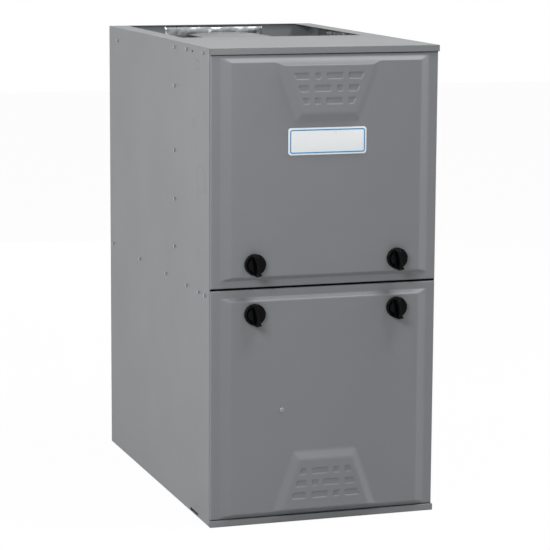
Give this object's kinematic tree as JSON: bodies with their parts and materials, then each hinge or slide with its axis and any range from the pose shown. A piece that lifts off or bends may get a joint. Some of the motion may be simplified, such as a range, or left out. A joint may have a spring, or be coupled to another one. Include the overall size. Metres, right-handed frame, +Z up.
{
  "type": "forced air gas furnace",
  "caption": "Upright forced air gas furnace in a steel casing, with pressed lift-off doors, latch knobs, tubular heat exchangers, burners, inducer and a circulating blower.",
  "frame": {"origin": "centre of the footprint of the overall box, on the floor", "axes": "+X to the right along the front, +Y to the rear, +Z up"},
  "size_m": [0.4508, 0.761, 0.889],
  "materials": {
    "casing_paint": "satin grey coil coat",
    "door_paint": "satin grey coil coat",
    "galvanised_steel": "galvanised sheet",
    "aluminised_steel": "aluminised tube",
    "zinc_screw": "zinc plated",
    "aluminium_foil": "foil-faced glass wool",
    "cast_aluminium": "die cast",
    "black_plastic": "gloss black moulding",
    "grey_plastic": "matt black moulding",
    "white_plastic": "gloss white",
    "red_plastic": "gloss red",
    "clear_lens": "clear moulded lens",
    "rubber": "matt black",
    "circuit_board": "solder mask",
    "black_enamel": "black enamel",
    "ceramic": "glazed"
  },
  "bodies": {
    "casing": {"casing_wrap": "casing_paint", "top_front_plate": "casing_paint", "base_sill": "door_paint", "bottom_closure_panel": "galvanised_steel", "center_rail": "casing_paint", "vestibule_panel": "galvanised_steel", "blower_shelf": "galvanised_steel", "casing_screws": "zinc_screw", "vestibule_screws": "zinc_screw", "heat_cell_1": "aluminised_steel", "heat_cell_2": "aluminised_steel", "heat_cell_3": "aluminised_steel", "heat_cell_4": "aluminised_steel", "coupling_box": "aluminised_steel", "secondary_coil": "aluminised_steel", "coil_rails": "galvanised_steel", "collector_box": "grey_plastic", "inducer_housing": "grey_plastic", "inducer_motor": "black_enamel", "vent_elbow": "grey_plastic", "burner_box": "galvanised_steel", "burners": "aluminised_steel", "gas_manifold": "black_enamel", "gas_valve": "cast_aluminium", "igniter": "ceramic", "flame_sensor": "ceramic", "rollout_switch": "grey_plastic", "limit_switch": "grey_plastic", "pressure_switch": "grey_plastic", "pressure_hose": "rubber", "condensate_trap": "grey_plastic", "drain_hose": "rubber", "junction_box": "galvanised_steel", "control_panel": "galvanised_steel", "control_board": "circuit_board", "transformer": "black_enamel", "capacitor": "cast_aluminium", "wire_harness": "grey_plastic", "door_switch": "grey_plastic", "blower_housing": "galvanised_steel", "blower_motor": "black_enamel", "motor_mount": "galvanised_steel", "liner_back": "aluminium_foil", "liner_left": "aluminium_foil", "liner_right": "aluminium_foil", "air_baffle": "galvanised_steel"},
    "upper_door": {"upper_door": "door_paint", "badge_plate": "white_plastic"},
    "lower_door": {"lower_door": "door_paint", "door_pad": "aluminium_foil", "sight_glass": "clear_lens"},
    "knob_upper_left": {"knob_upper_left": "black_plastic"},
    "knob_upper_right": {"knob_upper_right": "black_plastic"},
    "knob_lower_left": {"knob_lower_left": "black_plastic"},
    "knob_lower_right": {"knob_lower_right": "black_plastic"},
    "blower_wheel": {"blower_wheel": "galvanised_steel"},
    "inducer_wheel": {"inducer_wheel": "galvanised_steel"},
    "gas_valve_switch": {"gas_valve_switch": "red_plastic"},
    "rollout_reset_button": {"rollout_reset_button": "red_plastic"},
    "door_switch_plunger": {"door_switch_plunger": "white_plastic"}
  },
  "joints": [
    {"name": "upper_door_slide", "type": "slide", "parent": "casing", "child": "upper_door", "axis": [0, -1, 0], "range_m": [0, 0.28]},
    {"name": "lower_door_slide", "type": "slide", "parent": "casing", "child": "lower_door", "axis": [0, -1, 0], "range_m": [0, 0.28]},
    {"name": "knob_upper_left_turn", "type": "hinge", "parent": "upper_door", "child": "knob_upper_left", "pos_m": [-0.1395, -0.3575, 0.4932], "axis": [0, 1, 0], "range_deg": [0, 90]},
    {"name": "knob_upper_right_turn", "type": "hinge", "parent": "upper_door", "child": "knob_upper_right", "pos_m": [0.1395, -0.3575, 0.4932], "axis": [0, 1, 0], "range_deg": [0, 90]},
    {"name": "knob_lower_left_turn", "type": "hinge", "parent": "lower_door", "child": "knob_lower_left", "pos_m": [-0.1395, -0.3575, 0.4004], "axis": [0, 1, 0], "range_deg": [0, 90]},
    {"name": "knob_lower_right_turn", "type": "hinge", "parent": "lower_door", "child": "knob_lower_right", "pos_m": [0.1395, -0.3575, 0.4004], "axis": [0, 1, 0], "range_deg": [0, 90]},
    {"name": "blower_wheel_spin", "type": "hinge", "parent": "casing", "child": "blower_wheel", "pos_m": [0, 0.1065, 0.215], "axis": [1, 0, 0], "continuous": true},
    {"name": "inducer_wheel_spin", "type": "hinge", "parent": "casing", "child": "inducer_wheel", "pos_m": [-0.075, -0.1895, 0.56], "axis": [0, 1, 0], "continuous": true},
    {"name": "gas_valve_switch_turn", "type": "hinge", "parent": "casing", "child": "gas_valve_switch", "pos_m": [0.12705, -0.2825, 0.72], "axis": [0, 1, 0], "range_deg": [0, 90]},
    {"name": "rollout_reset_slide", "type": "slide", "parent": "casing", "child": "rollout_reset_button", "axis": [0, 0, 1], "range_m": [0, 0.0015]},
    {"name": "door_switch_slide", "type": "slide", "parent": "casing", "child": "door_switch_plunger", "axis": [0, 1, 0], "range_m": [0, 0.002], "stiffness_N_per_m": 200}
  ]
}
